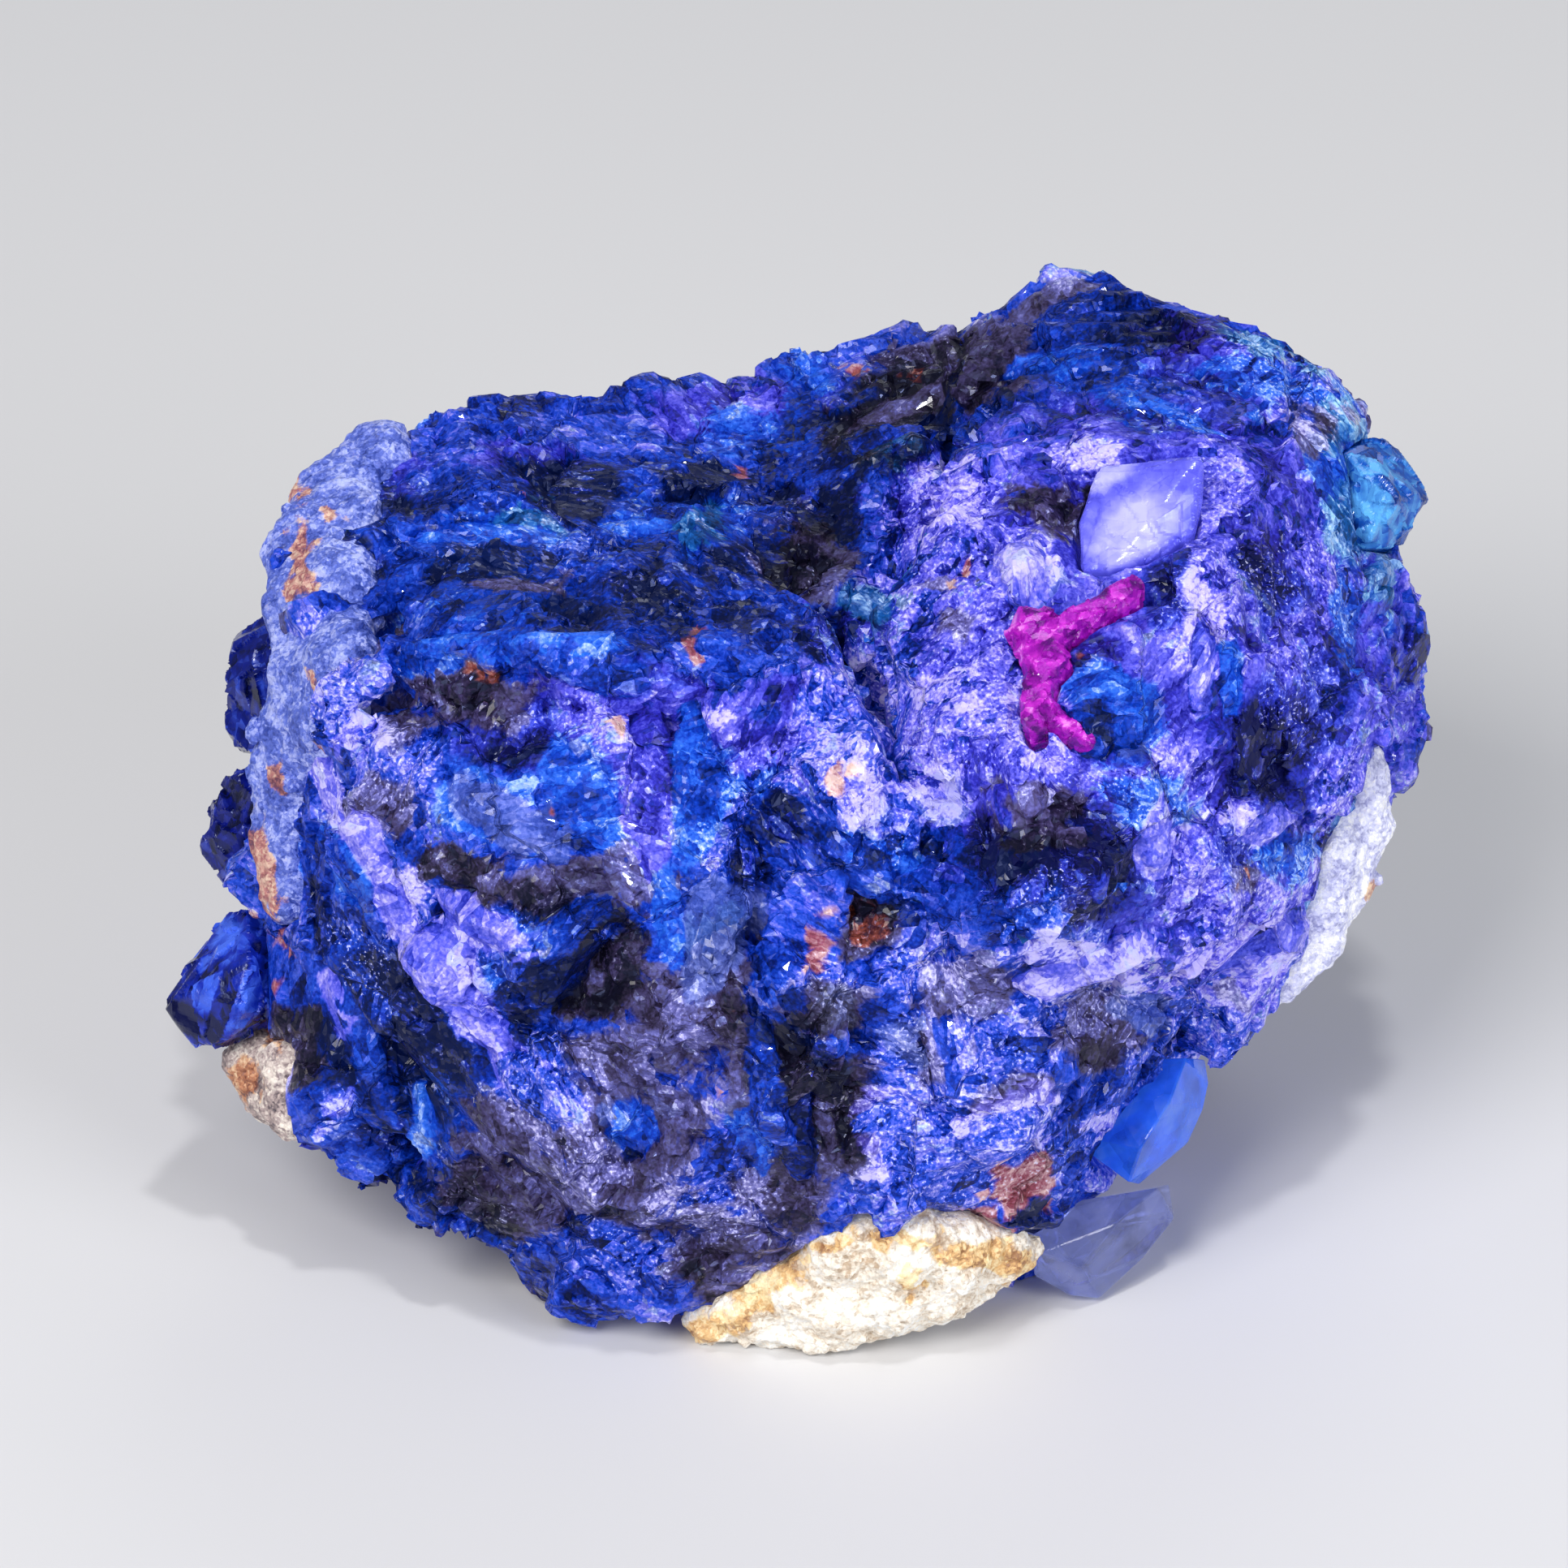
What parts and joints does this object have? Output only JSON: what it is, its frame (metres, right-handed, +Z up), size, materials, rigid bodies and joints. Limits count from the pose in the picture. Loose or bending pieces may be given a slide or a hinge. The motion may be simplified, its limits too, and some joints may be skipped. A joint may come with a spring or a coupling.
{
  "type": "fluorite cluster",
  "caption": "Rough mineral specimen: a blue and violet fluorite mass with glassy crystals set in it, pale crusts and a cream quartz foot to rest on.",
  "frame": {"origin": "on the flat foot's plane, under the middle of the specimen's box", "axes": "+X to the right of the face in the picture, +Y away from it towards the back, +Z up from the table"},
  "size_m": [0.07, 0.054, 0.0451],
  "materials": {
    "fluorite": "sugary, broken along cleavage planes, blue and violet with brown and pale zones",
    "pale_fluorite": "cloudy, with flat shining faces",
    "pink_fluorite": "waxy magenta",
    "deep_blue_fluorite": "dark and glassy",
    "teal_fluorite": "glassy",
    "glassy_blue_fluorite": "clear blue, polished faces",
    "clear_fluorite": "clear grey-blue",
    "grey_crust": "granular, pale blue-grey with rust stains",
    "white_crust": "granular white",
    "quartz_matrix": "granular cream with ochre stains"
  },
  "bodies": {
    "root": {"fluorite_mass": "fluorite", "tabular_crystal": "pale_fluorite", "pink_crystals": "pink_fluorite", "pointed_crystal": "deep_blue_fluorite", "upper_left_crystal": "deep_blue_fluorite", "lower_left_crystal": "deep_blue_fluorite", "teal_crystal": "teal_fluorite", "blue_crystal": "glassy_blue_fluorite", "clear_crystal": "clear_fluorite", "left_crust": "grey_crust", "right_crust": "white_crust", "left_matrix": "quartz_matrix", "foot_matrix": "quartz_matrix"}
  },
  "joints": []
}
